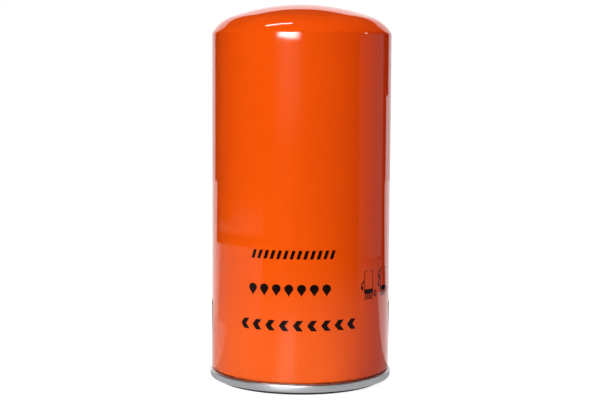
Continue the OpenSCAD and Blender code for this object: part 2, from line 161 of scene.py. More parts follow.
def bend(a, b, c, radius, count=10):
    """The arc that rounds the corner b of the path a, b, c."""
    u = (Vector(b) - Vector(a)).normalized()
    v = (Vector(c) - Vector(b)).normalized()
    turn = math.degrees(math.atan2(u.x * v.y - u.y * v.x, u.dot(v)))
    if radius <= 0 or abs(turn) < 0.1:
        return [tuple(b)]
    side = math.copysign(1, turn)
    out = -side * Vector((-u.y, u.x))
    start = Vector(b) - u * radius * math.tan(math.radians(abs(turn) / 2))
    centre = start - radius * out
    angle = math.degrees(math.atan2(out.y, out.x))
    return arc(centre, radius, angle, angle + turn, count)


def rounded(path, count=10):
    """A path of (x, y, bend radius) corners as plain points."""
    points = [path[0][:2]]
    for before, corner, after in zip(path, path[1:], path[2:]):
        points += bend(before[:2], corner[:2], after[:2], corner[2], count)
    points.append(path[-1][:2])
    return points


def shifted(points, distance):
    """The path moved to its left by distance, with mitred corners."""
    moved = []
    for i, p in enumerate(points):
        p = Vector(p)
        u = (p - Vector(points[i - 1])).normalized() if i else (Vector(points[1]) - p).normalized()
        v = (Vector(points[i + 1]) - p).normalized() if i < len(points) - 1 else u
        left = Vector((-u.y, u.x))
        mitre = (left + Vector((-v.y, v.x))).normalized()
        moved.append(tuple(p + mitre * distance / mitre.dot(left)))
    return moved


def sheet(path, thickness, count=10):
    """The closed outline of a bent sheet, with slightly rounded ends."""
    middle = rounded(path, count)
    return shifted(middle, thickness / 2) + shifted(middle, -thickness / 2)[::-1]


def round_corners(points, radius, count=4):
    """A closed outline with each corner rounded."""
    n = len(points)
    result = []
    for i in range(n):
        result += bend(points[i - 1], points[i], points[(i + 1) % n], radius, count)
    return result


# ---- Meshes ----


def add_object(name, bm, sharp_angle=35.0, smooth=True):
    bmesh.ops.recalc_face_normals(bm, faces=bm.faces)
    mesh = bpy.data.meshes.new(name)
    bm.to_mesh(mesh)
    bm.free()
    for polygon in mesh.polygons:
        polygon.use_smooth = smooth
    if smooth:
        mesh.set_sharp_from_angle(angle=math.radians(sharp_angle))
    piece = bpy.data.objects.new(name, mesh)
    bpy.context.scene.collection.objects.link(piece)
    return piece


def revolve_into(bm, outline, segments):
    """Spins a closed outline of (radius, z) points, in millimetres, about the axis."""
    on_axis = 1e-6
    rings = []
    for radius, z in outline:
        if radius < on_axis:
            rings.append([bm.verts.new((0, 0, z * MM))])
            continue
        ring = []
        for k in range(segments):
            t = TAU * k / segments
            ring.append(bm.verts.new((radius * MM * math.cos(t), radius * MM * math.sin(t), z * MM)))
        rings.append(ring)
    for a, b in zip(rings, rings[1:] + rings[:1]):
        if len(a) == 1 and len(b) == 1:
            continue
        for k in range(segments):
            j = (k + 1) % segments
            if len(a) == 1:
                bm.faces.new((a[0], b[k], b[j]))
            elif len(b) == 1:
                bm.faces.new((a[k], b[0], a[j]))
            else:
                bm.faces.new((a[k], b[k], b[j], a[j]))


def revolve(name, outline, segments=192, sharp_angle=35.0):
    bm = bmesh.new()
    revolve_into(bm, outline, segments)
    return add_object(name, bm, sharp_angle)


def cut(piece, cutters, sharp_angle=35.0):
    """Cuts the cutters out of the piece and removes them."""
    for cutter in cutters:
        modifier = piece.modifiers.new("cut", "BOOLEAN")
        modifier.operation = "DIFFERENCE"
        modifier.solver = "EXACT"
        modifier.object = cutter
        bpy.context.view_layer.update()
        mesh = bpy.data.meshes.new_from_object(piece.evaluated_get(bpy.context.evaluated_depsgraph_get()))
        piece.modifiers.clear()
        old = piece.data
        piece.data = mesh
        bpy.data.meshes.remove(old)
        bpy.data.objects.remove(cutter)
    for polygon in piece.data.polygons:
        polygon.use_smooth = True
    piece.data.set_sharp_from_angle(angle=math.radians(sharp_angle))
    return piece


def sweep_into(bm, centres, frames, section):
    """Sweeps a closed section of (out, up) points along centres; frames holds (out, up) vectors."""
    rings = []
    for centre, (out, up) in zip(centres, frames):
        rings.append([bm.verts.new(centre + out * x + up * y) for x, y in section(len(rings))])
    n = len(rings[0])
    for a, b in zip(rings, rings[1:]):
        for k in range(n):
            j = (k + 1) % n
            bm.faces.new((a[k], a[j], b[j], b[k]))
    bm.faces.new(rings[0][::-1])
    bm.faces.new(rings[-1])


def spring(name, radius, wire, coils, bottom, top, per_turn=56, sides=14):
    """A compression spring of round wire with one closed turn at each end."""
    closed = wire * 1.03
    rise = top - bottom - wire
    pitch = (rise - 2 * closed) / (coils - 2)

    def height(u):
        if u < 1:
            return closed * u
        if u > coils - 1:
            return rise - closed * (coils - u)
        return closed + pitch * (u - 1)

    steps = round(coils * per_turn)
    centres, frames = [], []
    for i in range(steps + 1):
        t = TAU * i / per_turn
        out = Vector((math.cos(t), math.sin(t), 0))
        centres.append((out * radius + Vector((0, 0, bottom + wire / 2 + height(i / per_turn)))) * MM)
        frames.append((out, Vector((0, 0, 1))))
    wire_r = wire / 2 * MM
    ring = [(wire_r * math.cos(TAU * k / sides), wire_r * math.sin(TAU * k / sides)) for k in range(sides)]
    taper = 4

    def section(i):
        edge = min(i, steps - i)
        scale = 1 if edge >= taper else math.sqrt(1 - (1 - edge / taper) ** 2) * 0.3 + 0.7
        return [(x * scale, y * scale) for x, y in ring]

    bm = bmesh.new()
    sweep_into(bm, centres, frames, section)
    return add_object(name, bm, 60)


# ---- Materials ----


class Nodes:
    """Builds one node material."""

    def __init__(self, name):
        self.material = bpy.data.materials.new(name)
        self.material.use_nodes = True
        self.tree = self.material.node_tree
        self.shader = self.tree.nodes["Principled BSDF"]
        self.place = self.node("ShaderNodeTexCoord").outputs["Object"]

    def node(self, kind, **settings):
        made = self.tree.nodes.new(kind)
        for key, value in settings.items():
            setattr(made, key, value)
        return made

    def link(self, source, target):
        self.tree.links.new(source, target)

    def set(self, **values):
        for key, value in values.items():
            self.shader.inputs[key.replace("_", " ")].default_value = value
        return self

    def stretched(self, scale):
        """Object coordinates scaled along each axis."""
        mapping = self.node("ShaderNodeMapping")
        mapping.inputs["Scale"].default_value = scale
        self.link(self.place, mapping.inputs["Vector"])
        return mapping.outputs["Vector"]

    def noise(self, scale, detail=2.0, roughness=0.5, stretch=None):
        made = self.node("ShaderNodeTexNoise")
        made.inputs["Scale"].default_value = scale
        made.inputs["Detail"].default_value = detail
        made.inputs["Roughness"].default_value = roughness
        self.link(self.stretched(stretch) if stretch else self.place, made.inputs["Vector"])
        return made.outputs["Fac"]

    def spots(self, scale, low, high):
        """A mask of scattered round spots from cell distances."""
        cells = self.node("ShaderNodeTexVoronoi")
        cells.inputs["Scale"].default_value = scale
        self.link(self.place, cells.inputs["Vector"])
        return self.ramp(cells.outputs["Distance"], low, high, 1.0, 0.0)

    def ramp(self, value, low, high, out_low=0.0, out_high=1.0):
        made = self.node("ShaderNodeMapRange")
        made.inputs["From Min"].default_value = low
        made.inputs["From Max"].default_value = high
        made.inputs["To Min"].default_value = out_low
        made.inputs["To Max"].default_value = out_high
        self.link(value, made.inputs["Value"])
        return made.outputs["Result"]

    def mix(self, factor, a, b):
        made = self.node("ShaderNodeMix", data_type="RGBA")
        self.link(factor, made.inputs["Factor"])
        for socket, value in ((made.inputs[6], a), (made.inputs[7], b)):
            if isinstance(value, tuple):
                socket.default_value = (*value, 1.0)
            else:
                self.link(value, socket)
        return made.outputs[2]

    def math(self, operation, a, b):
        made = self.node("ShaderNodeMath", operation=operation)
        for socket, value in zip(made.inputs, (a, b)):
            if isinstance(value, (int, float)):
                socket.default_value = value
            else:
                self.link(value, socket)
        return made.outputs[0]

    def colour(self, value):
        self.link(value, self.shader.inputs["Base Color"])
        return self

    def roughness(self, value):
        self.link(value, self.shader.inputs["Roughness"])
        return self

    def bump(self, *layers):
        """Each layer is (height, distance in millimetres)."""
        normal = None
        for height, distance in layers:
            made = self.node("ShaderNodeBump")
            made.inputs["Distance"].default_value = distance * MM
            self.link(height, made.inputs["Height"])
            if normal is not None:
                self.link(normal, made.inputs["Normal"])
            normal = made.outputs["Normal"]
        self.link(normal, self.shader.inputs["Normal"])
        if self.shader.inputs["Coat Weight"].default_value > 0:
            self.link(normal, self.shader.inputs["Coat Normal"])
        return self


def paint_material():
    m = Nodes("can_paint")
    m.set(Roughness=0.42, Specular_IOR_Level=0.0, Coat_Weight=1.0, Coat_Roughness=0.03, Coat_IOR=1.5)
    broad = m.noise(18, 2)
    flakes = m.noise(1500, 2, 0.7)
    tone = m.mix(m.ramp(broad, 0.3, 0.7), (0.785, 0.081, 0.0018), (0.815, 0.087, 0.0021))
    tone = m.mix(m.ramp(flakes, 0.35, 0.65, 0.0, 0.22), tone, (0.62, 0.050, 0.0015))
    dust = m.spots(240, 0.03, 0.06)
    tone = m.mix(m.math("MULTIPLY", dust, 0.35), tone, (0.90, 0.20, 0.06))
    m.colour(tone)
    m.roughness(m.ramp(m.noise(40, 3), 0.3, 0.7, 0.38, 0.48))
    m.bump((m.noise(260, 1.5, 0.5), 0.006), (flakes, 0.0012))
    return m.material


def bare_steel_material(name, colour, dark, low, high, streak=(1, 1, 14)):
    m = Nodes(name)
    m.set(Metallic=1.0)
    lines = m.noise(160, 3, 0.6, streak)
    cloud = m.noise(60, 3)
    m.colour(m.mix(m.ramp(cloud, 0.3, 0.75), colour, dark))
    m.roughness(m.math("ADD", m.ramp(lines, 0.3, 0.7, low, high), m.ramp(cloud, 0.35, 0.8, 0.0, 0.08)))
    m.bump((lines, 0.004), (m.noise(900, 2), 0.0015))
    return m.material


def zinc_material(name, colour, dark):
    m = Nodes(name)
    m.set(Metallic=1.0)
    spangle = m.node("ShaderNodeTexVoronoi")
    spangle.inputs["Scale"].default_value = 320
    m.link(m.place, spangle.inputs["Vector"])
    grain = m.ramp(spangle.outputs["Distance"], 0.1, 0.7)
    m.colour(m.mix(grain, colour, dark))
    m.roughness(m.ramp(m.noise(90, 3), 0.3, 0.7, 0.30, 0.46))
    m.bump((m.noise(700, 3, 0.6), 0.004))
    return m.material


def rubber_material(name, colour, worn, low=0.42, high=0.6, sheen=0.1):
    m = Nodes(name)
    m.set(Specular_IOR_Level=0.45, Sheen_Weight=sheen, Sheen_Roughness=0.4)
    broad = m.noise(70, 3)
    m.colour(m.mix(m.ramp(broad, 0.35, 0.75), colour, worn))
    m.roughness(m.ramp(m.noise(220, 3), 0.3, 0.7, low, high))
    m.bump((m.noise(1400, 3, 0.6), 0.004), (m.noise(160, 2), 0.006))
    return m.material


def paper_material():
    m = Nodes("media_paper")
    m.set(Roughness=0.9, Specular_IOR_Level=0.2, Sheen_Weight=0.15)
    fibres = m.noise(1600, 5, 0.7, (1, 1, 0.35))
    cloud = m.noise(45, 3)
    tone = m.mix(m.ramp(fibres, 0.3, 0.7), (0.70, 0.56, 0.30), (0.84, 0.72, 0.46))
    m.colour(m.mix(m.ramp(cloud, 0.35, 0.8, 0.0, 0.4), tone, (0.60, 0.45, 0.22)))
    m.roughness(m.ramp(fibres, 0.3, 0.7, 0.82, 0.95))
    m.bump((fibres, 0.03), (m.noise(260, 2, 0.5, (1, 1, 0.1)), 0.04))
    return m.material


def compound_material(name, colour, dark, low, high):
    m = Nodes(name)
    m.set(Specular_IOR_Level=0.4)
    cloud = m.noise(120, 4, 0.6)
    bubbles = m.spots(420, 0.08, 0.2)
    m.colour(m.mix(m.ramp(cloud, 0.3, 0.7), colour, dark))
    m.roughness(m.ramp(cloud, 0.3, 0.7, low, high))
    m.bump((cloud, 0.05), (bubbles, 0.03))
    return m.material


def ink_material():
    m = Nodes("print_ink")
    m.set(Roughness=0.5, Specular_IOR_Level=0.0, Coat_Weight=0.55, Coat_Roughness=0.05, Coat_IOR=1.4)
    cover = m.noise(900, 3, 0.7)
    m.colour(m.mix(m.ramp(cover, 0.35, 0.8), (0.003, 0.001, 0.001), (0.016, 0.004, 0.001)))
    m.roughness(m.ramp(m.noise(500, 2), 0.3, 0.7, 0.42, 0.55))
    m.bump((m.noise(900, 2), 0.004))
    return m.material


PAINT = paint_material()
INSIDE = bare_steel_material("can_inside", (0.42, 0.42, 0.44), (0.30, 0.29, 0.29), 0.34, 0.5)
TINPLATE = bare_steel_material("seam_steel", (0.88, 0.90, 0.93), (0.78, 0.80, 0.83), 0.26, 0.36)
PLATE = zinc_material("plate_steel", (0.62, 0.63, 0.65), (0.48, 0.49, 0.51))
CAP = bare_steel_material("cap_steel", (0.66, 0.67, 0.69), (0.54, 0.55, 0.57), 0.26, 0.38, (1, 1, 1))
TUBE = bare_steel_material("tube_steel", (0.55, 0.56, 0.58), (0.42, 0.43, 0.45), 0.32, 0.45)
VALVE = zinc_material("valve_steel", (0.66, 0.60, 0.44), (0.55, 0.50, 0.40))
WIRE = bare_steel_material("spring_steel", (0.34, 0.34, 0.35), (0.22, 0.22, 0.23), 0.25, 0.38, (1, 1, 1))
GASKET = rubber_material("gasket_rubber", (0.012, 0.012, 0.013), (0.026, 0.026, 0.027))
DRAINBACK = rubber_material("drainback_rubber", (0.20, 0.018, 0.012), (0.28, 0.035, 0.025))
GROMMET = rubber_material("grommet_rubber", (0.014, 0.014, 0.014), (0.03, 0.03, 0.03))
SEAL = rubber_material("seal_rubber", (0.016, 0.015, 0.015), (0.035, 0.033, 0.03))
PAPER = paper_material()
POTTING = compound_material("potting", (0.22, 0.25, 0.11), (0.15, 0.18, 0.08), 0.35, 0.55)
BEAD = compound_material("bead_glue", (0.80, 0.74, 0.60), (0.68, 0.60, 0.44), 0.3, 0.5)
INK = ink_material()


def finish_piece(piece, material, body, slot, *nodes):
    """Paints a new piece, makes it ride on a body and lets it stand for CAD nodes."""
    piece.data.materials.append(material)
    if body:
        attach(piece, body)
    if nodes:
        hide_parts(*nodes)
    return piece


# ---- Can ----


def dome(inset, count):
    """The dome's outline from the top of the straight side to the axis: corner, haunch and crown."""
    turn = math.radians(KNUCKLE_TURN)
    corner_r = CAN_R - KNUCKLE_R
    haunch_r = corner_r - (HAUNCH_R - KNUCKLE_R) * math.cos(turn)
    end = math.acos(haunch_r / (CROWN_R - HAUNCH_R))
    crown_z = TOTAL_H - CROWN_R
    haunch_z = crown_z + (CROWN_R - HAUNCH_R) * math.sin(end)
    corner_z = haunch_z + (HAUNCH_R - KNUCKLE_R) * math.sin(turn)
    end = math.degrees(end)
    points = arc((corner_r, corner_z), KNUCKLE_R - inset, 0, KNUCKLE_TURN, max(2, count // 3))
    points += arc((haunch_r, haunch_z), HAUNCH_R - inset, KNUCKLE_TURN, end, count)[1:]
    points += arc((0, crown_z), CROWN_R - inset, end, 90, count)[1:]
    points[-1] = (0.0, points[-1][1])
    return points


def can_outline():
    side_r = CAN_R - CAN_T / 2
    side_z = NECK_BOTTOM + NECK_H + 2
    foot = rounded([
        (BODY_HOOK_R, SEAM_TOP - LID_T - SEAM_GAP, 0),
        (BODY_HOOK_R, BODY_FOLD_Z, 0.6),
        (CAN_LEG_R, BODY_FOLD_Z, 0.6),
        (CAN_LEG_R, NECK_BOTTOM, 0.7),
        (side_r, NECK_BOTTOM + NECK_H, 0.7),
        (side_r, side_z, 0),
    ])
    rows = 12
    top = dome(0, 2)[0][1]
    side = [side_z + (top - side_z) * i / rows for i in range(1, rows)]
    inner = [(CAN_R - CAN_T, z) for z in side] + dome(CAN_T, 24)
    outer = dome(0, 40)[::-1] + [(CAN_R, z) for z in reversed(side)]
    return shifted(foot, CAN_T / 2) + inner + outer + shifted(foot, -CAN_T / 2)[::-1]


can = revolve("can_shell", can_outline(), 288, 50)
can.data.materials.append(PAINT)
can.data.materials.append(INSIDE)
for face in can.data.polygons:
    outward = Vector((face.center.x, face.center.y, max(0.0, face.center.z - 0.15)))
    inside = face.normal.dot(outward) < 0
    buried = face.center.z < NECK_BOTTOM * MM
    face.material_index = 1 if inside or buried else 0
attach(can, "can")
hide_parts("canister")

# ---- Lid and rolled seam ----

lid = revolve("lid_and_seam", sheet([
    (LID_INNER_R, LID_FACE_Z, 0),
    (GROOVE_WALL_R, LID_FACE_Z, 0.8),
    (GROOVE_WALL_R, GROOVE_Z, 0.8),
    (CHUCK_WALL_R, GROOVE_Z, 0.8),
    (CHUCK_WALL_R, SEAM_BOTTOM + LID_T / 2, 1.0),
    (LID_WALL_R, SEAM_BOTTOM + LID_T / 2, 1.0),
    (LID_WALL_R, SEAM_TOP - LID_T / 2, 0.5),
    (COVER_HOOK_R, SEAM_TOP - LID_T / 2, 0.5),
    (COVER_HOOK_R, BODY_FOLD_Z + CAN_T / 2 + SEAM_GAP, 0),
], LID_T, 8), 240, 50)

WELDS = 8
WELD_RING_R = (LID_INNER_R + GROOVE_WALL_R) / 2
WELD_R = 3.2
WELD_DEPTH = 0.3
WELD_Z = LID_FACE_Z - LID_T / 2 + WELD_DEPTH - WELD_R
weld_tools = []
for i in range(WELDS):
    bm = bmesh.new()
    t = TAU * (i + 0.5) / WELDS
    centre = Vector((WELD_RING_R * math.cos(t), WELD_RING_R * math.sin(t), WELD_Z)) * MM
    bmesh.ops.create_uvsphere(bm, u_segments=40, v_segments=40, radius=WELD_R * MM, matrix=Matrix.Translation(centre))
    weld_tools.append(add_object("weld_tool", bm))
cut(lid, weld_tools, 50)
finish_piece(lid, TINPLATE, "can", "seam_steel", "seam_lid")

# ---- Thread plate ----

CENTRE_EDGE = 0.6
RIM_LOW_EDGE = 0.4
RIM_TOP_EDGE = 1
plate_outline = [
    (ROOT_R + THREAD_CHAMFER, PLATE_BOTTOM),
    (CENTRE_R - CENTRE_EDGE, PLATE_BOTTOM),
    (CENTRE_R, PLATE_BOTTOM + CENTRE_EDGE),
    (CENTRE_R, RIM_BOTTOM),
    (PLATE_R - RIM_LOW_EDGE, RIM_BOTTOM),
    (PLATE_R, RIM_BOTTOM + RIM_LOW_EDGE),
    (PLATE_R, RIM_TOP - RIM_TOP_EDGE),
    (PLATE_R - RIM_TOP_EDGE, RIM_TOP),
    (CENTRE_R + RIM_TOP_EDGE, RIM_TOP),
    (CENTRE_R - PLATE_STEP, PLATE_TOP),
    *arc((HUB_R + HUB_STEP + HUB_FILLET, PLATE_TOP + HUB_FILLET), HUB_FILLET, 270, 180, 8),
    (HUB_R + HUB_STEP, COLLAR_Z),
    (HUB_R, COLLAR_Z),
    (HUB_R, HUB_TOP - HUB_EDGE),
    (HUB_R - HUB_EDGE, HUB_TOP),
    (ROOT_R + THREAD_CHAMFER, HUB_TOP),
    (ROOT_R, HUB_TOP - THREAD_CHAMFER),
    (ROOT_R, PLATE_BOTTOM + THREAD_CHAMFER),
]
plate = revolve("thread_plate_body", plate_outline, 160)
INLET_EDGE = 0.5
inlet_outline = [
    (0, PLATE_BOTTOM - 1), (INLET_R + INLET_EDGE + 1, PLATE_BOTTOM - 1), (INLET_R, PLATE_BOTTOM + INLET_EDGE),
    (INLET_R, PLATE_TOP - INLET_EDGE), (INLET_R + INLET_EDGE + 1, PLATE_TOP + 1), (0, PLATE_TOP + 1),
]
inlet_tools = []
for i in range(INLETS):
    tool = revolve("inlet_tool", inlet_outline, 48)
    t = TAU * i / INLETS
    tool.data.transform(Matrix.Translation(Vector((INLET_RING_R * math.cos(t), INLET_RING_R * math.sin(t), 0)) * MM))
    inlet_tools.append(tool)
cut(plate, inlet_tools)
finish_piece(plate, PLATE, "can", "plate_steel", "thread_plate")


def thread_ridge():
    """The helical ridge of the internal thread, right-handed, faded out at both ends."""
    per_turn = 72
    start = PLATE_BOTTOM + THREAD_CHAMFER
    turns = (HUB_TOP - PLATE_BOTTOM - 2 * THREAD_CHAMFER) / PITCH - 1
    steps = round(turns * per_turn)
    fade = per_turn / 3
    embed = 0.12
    wall = ROOT_R + embed
    foot = PITCH * 7 / 16
    tip = PITCH / 8
    centres, frames = [], []
    for i in range(steps + 1):
        t = TAU * i / per_turn
        centres.append(Vector((0, 0, (start + PITCH / 2 + PITCH * i / per_turn) * MM)))
        frames.append((Vector((math.cos(t), math.sin(t), 0)), Vector((0, 0, 1))))

    def section(i):
        rise = min(1.0, min(i, steps - i) / fade)
        rise = rise * rise * (3 - 2 * rise)
        crest = ROOT_R + embed / 2 - (ROOT_R - CREST_R) * rise
        return [(wall * MM, -foot * MM), (wall * MM, foot * MM), (crest * MM, tip * MM), (crest * MM, -tip * MM)]

    bm = bmesh.new()
    sweep_into(bm, centres, frames, section)
    return add_object("thread_ridge", bm, 30)


finish_piece(thread_ridge(), PLATE, "can", "plate_steel")

# ---- Gasket ----

GASKET_EDGE = 0.7
gasket_outline = round_corners([
    (GASKET_INNER_R, 0), (GASKET_OUTER_R, 0), (GASKET_OUTER_R, GASKET_H), (GASKET_INNER_R, GASKET_H),
], GASKET_EDGE, 6)
gasket = revolve("gasket_ring", gasket_outline, 192, 50)
finish_piece(gasket, GASKET, "can", "gasket_rubber", "mounting_gasket")

# ---- Anti-drainback valve: collar and flap as one rubber moulding ----

flap_path = [
    (COLLAR_R - 0.6, WEB_Z, 0),
    (COLLAR_R + 1 + WEB_W, WEB_Z, 2),
    (FLAP_R - 2.5, FLAP_LIP_Z, 2),
    (FLAP_R, FLAP_LIP_Z, 0),
]
flap_middle = []
for a, b in zip(rounded(flap_path), rounded(flap_path)[1:]):
    parts = max(1, round(math.dist(a, b) / 0.8))
    flap_middle += [(a[0] + (b[0] - a[0]) * k / parts, a[1] + (b[1] - a[1]) * k / parts) for k in range(parts)]
flap_middle.append(flap_path[-1][:2])
under = [p for p in shifted(flap_middle, -FLAP_T / 2) if p[0] > COLLAR_R]
over = [p for p in shifted(flap_middle, FLAP_T / 2) if p[0] > COLLAR_R]
bead = 0.35
lip_end = [(FLAP_R, FLAP_LIP_Z - FLAP_T / 2 + bead), (FLAP_R, FLAP_LIP_Z + FLAP_T / 2 - bead)]
diaphragm_outline = [
    (HUB_R, COLLAR_Z), (COLLAR_R - COLLAR_EDGE, COLLAR_Z), (COLLAR_R, COLLAR_Z + COLLAR_EDGE),
    *under[:-1], (FLAP_R - bead, FLAP_LIP_Z - FLAP_T / 2),
    *lip_end, (FLAP_R - bead, FLAP_LIP_Z + FLAP_T / 2), *over[-2::-1],
    (COLLAR_R, WEB_Z + FLAP_T), (COLLAR_R, COLLAR_TOP - COLLAR_EDGE),
    (COLLAR_R - COLLAR_EDGE, COLLAR_TOP), (HUB_R, COLLAR_TOP),
]
diaphragm = revolve("drainback_diaphragm", diaphragm_outline, 144, 50)
finish_piece(diaphragm, DRAINBACK, None, "drainback_rubber", "drainback_collar", "drainback_flap")
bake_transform(diaphragm)

# ---- Springs ----

for name, node, joint, wire, coils in (
    ("dome_spring", "element_spring", "element_float", 3.2, 4.8),
    ("valve_spring", "bypass_spring", "bypass_open", 1.4, 6),
):
    low, high = extent(node)
    body = "can" if node == "element_spring" else "element"
    piece = spring(name, high[0] - wire / 2, wire, coils, low[2], high[2])
    finish_piece(piece, WIRE, body, "spring_steel", node)
    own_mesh(piece)

# ---- CAD nodes that keep their shape ----

KEPT = {
    "element_grommet": GROMMET, "lower_end_cap": CAP, "upper_end_cap": CAP, "lower_potting": POTTING,
    "upper_potting": POTTING, "pleated_media": PAPER, "media_seam_clip": CAP, "pleat_beads": BEAD,
    "centre_tube": TUBE, "bypass_cage": VALVE, "bypass_rivets": VALVE, "bypass_disc": VALVE,
    "bypass_seal": SEAL, "bypass_stem": VALVE, "spring_seat": CAP,
}
for node, material in KEPT.items():
    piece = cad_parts[node]
    piece.data.materials.clear()
    piece.data.materials.append(material)

# ---- Printed marks: plain bars, drops and fitting pictures, with no lettering ----

INK_OUT = 0.05
INK_IN = 0.10
STEP = 1.0


def on_can(x, z, out):
    """A point on the can's side from its angle in degrees and height, out from the paint."""
    t = math.radians(x)
    r = CAN_R + out
    return Vector((r * math.sin(t), -r * math.cos(t), z)) * MM


DEG = 360 / (TAU * CAN_R)


def patch_into(bm, left, right):
    """A closed film between two paths of (degrees, z) points, row by row."""
    rows = [(x0, z0, x1, z1) for (x0, z0), (x1, z1) in zip(left, right)]
    widest = max(math.hypot((x1 - x0) / DEG, z1 - z0) for x0, z0, x1, z1 in rows)
    count = max(1, math.ceil(widest / STEP))
    grids = []
    for out in (INK_OUT, -INK_IN):
        grids.append([[bm.verts.new(on_can(x0 + (x1 - x0) * k / count, z0 + (z1 - z0) * k / count, out))
                       for k in range(count + 1)] for x0, z0, x1, z1 in rows])
    top, base = grids
    n = len(rows)
    for i in range(n - 1):
        for k in range(count):
            bm.faces.new((top[i][k], top[i][k + 1], top[i + 1][k + 1], top[i + 1][k]))
            bm.faces.new((base[i][k], base[i + 1][k], base[i + 1][k + 1], base[i][k + 1]))
        bm.faces.new((top[i][0], top[i + 1][0], base[i + 1][0], base[i][0]))
        bm.faces.new((top[i][count], base[i][count], base[i + 1][count], top[i + 1][count]))
    for k in range(count):
        bm.faces.new((top[0][k], base[0][k], base[0][k + 1], top[0][k + 1]))
        bm.faces.new((top[n - 1][k], top[n - 1][k + 1], base[n - 1][k + 1], base[n - 1][k]))


def bar_into(bm, x, z, width, height, slant=0.0, rows=2):
    """A slanted bar from its lower left corner, sizes in millimetres along the can."""
    left, right = [], []
    for i in range(rows):
        f = i / (rows - 1)
        shift = slant * f * DEG
        left.append((x + shift, z + height * f))
        right.append((x + shift + width * DEG, z + height * f))
    patch_into(bm, left, right)


def line_into(bm, points, width, closed=False):
    """A stroke of even width along points given in millimetres from the can's front."""
    path = [Vector(p) for p in points]
    n = len(path)
    left, right = [], []
    for i in range(n):
        before = path[i - 1] if i or closed else path[i]
        after = path[(i + 1) % n] if i < n - 1 or closed else path[i]
        d = (after - before).normalized()
        side = Vector((-d.y, d.x)) * width / 2
        a, b = path[i] + side, path[i] - side
        left.append((a.x * DEG, a.y))
        right.append((b.x * DEG, b.y))
    if closed:
        half = n // 2
        patch_into(bm, left[:half + 1], right[:half + 1])
        patch_into(bm, left[half:] + left[:1], right[half:] + right[:1])
        return
    patch_into(bm, left, right)


def drop_into(bm, x, z, height):
    """An oil drop with its point downwards, from the place of its point."""
    radius = height * 0.36
    left, right = [], []
    rows = 16
    for i in range(rows + 1):
        f = i / rows
        y = height * f
        centre = height - radius
        if y < centre - radius * 0.35:
            half = radius * 0.94 * (y / (centre - radius * 0.35)) ** 1.25
        else:
            half = math.sqrt(max(0.0, radius * radius - (y - centre) ** 2))
        half = max(half, 0.04)
        left.append((x - half * DEG, z + y))
        right.append((x + half * DEG, z + y))
    patch_into(bm, left, right)


def chevron_into(bm, x, z, height, thick, reach):
    """A chevron that points to the left."""
    for sign in (-1, 1):
        left, right = [], []
        for i in range(4):
            f = i / 3
            left.append((x + reach * f * DEG, z + height / 2 + sign * height / 2 * f))
            right.append((x + (reach * f + thick) * DEG, z + height / 2 + sign * height / 2 * f))
        patch_into(bm, left, right)


ink = bmesh.new()
# Small band of slanted bars
for i in range(13):
    bar_into(ink, -31.7 + i * 3.9 * DEG, 79.5, 2.0, 5.0, 1.6)
# Row of oil drops
for i in range(7):
    drop_into(ink, -30.6 + i * 7.35 * DEG, 57.8, 7.2)
# Bold row of chevrons
for i in range(9):
    chevron_into(ink, -39.5 + i * 8.2 * DEG, 37.9, 6.1, 3.6, 2.4)

# Two fitting pictures: a can over its mounting, with a turning arrow and a dot
for left, z_foot, arrows in ((43.6, 53.7, 1), (61.0, 54.1, 2)):
    x = left / DEG
    wide = 7.6
    body_z = z_foot + 6.3
    top = z_foot + 17.0
    line_into(ink, [(x, body_z), (x, top - 1.2), (x + 0.9, top), (x + wide - 0.9, top), (x + wide, top - 0.6),
                    (x + wide, body_z)], 0.4)
    bar_into(ink, (x - 0.2) * DEG, z_foot + 3.8, wide + 0.4, 2.5)
    for k in range(6):
        bar_into(ink, (x - 0.1 + k * 1.22) * DEG, z_foot + 0.3, 0.6, 3.6, 1.3)
    line_into(ink, [(x - 0.2, z_foot + 0.2), (x + wide + 0.2, z_foot + 0.2)], 0.4)
    for k in range(arrows):
        centre_x, centre_z, r = x + 0.4, body_z + 2.2 + 5.0 * k, 2.7
        curve = []
        for a in range(0, 121, 12):
            curve.append((centre_x - r * math.sin(math.radians(a)), centre_z + r * math.cos(math.radians(a))))
        line_into(ink, curve, 0.8)
        tip_x, tip_z = curve[-1]
        patch_into(ink, [((tip_x - 1.2) * DEG, tip_z + 0.7), ((tip_x + 0.1) * DEG, tip_z - 1.3)],
                   [((tip_x + 1.2) * DEG, tip_z + 0.9), ((tip_x + 0.4) * DEG, tip_z - 1.3)])
    turns = [TAU * k / 20 for k in range(20)]
    dot = [(x + wide + 2.4 + 1.1 * math.cos(t), z_foot + 3.2 + 1.5 * math.sin(t)) for t in turns]
    line_into(ink, dot, 0.8, closed=True)

marks = add_object("print_marks", ink, 30)
finish_piece(marks, INK, "can", "can_paint")

# ---- Stage ----

def plane(name, corners, material, **visible):
    bm = bmesh.new()
    bm.faces.new([bm.verts.new(c) for c in corners])
    piece = bpy.data.objects.new(name, bpy.data.meshes.new(name))
    bm.to_mesh(piece.data)
    bm.free()
    bpy.context.scene.collection.objects.link(piece)
    piece.data.materials.append(material)
    for key, value in visible.items():
        setattr(piece, "visible_" + key, value)
    return piece


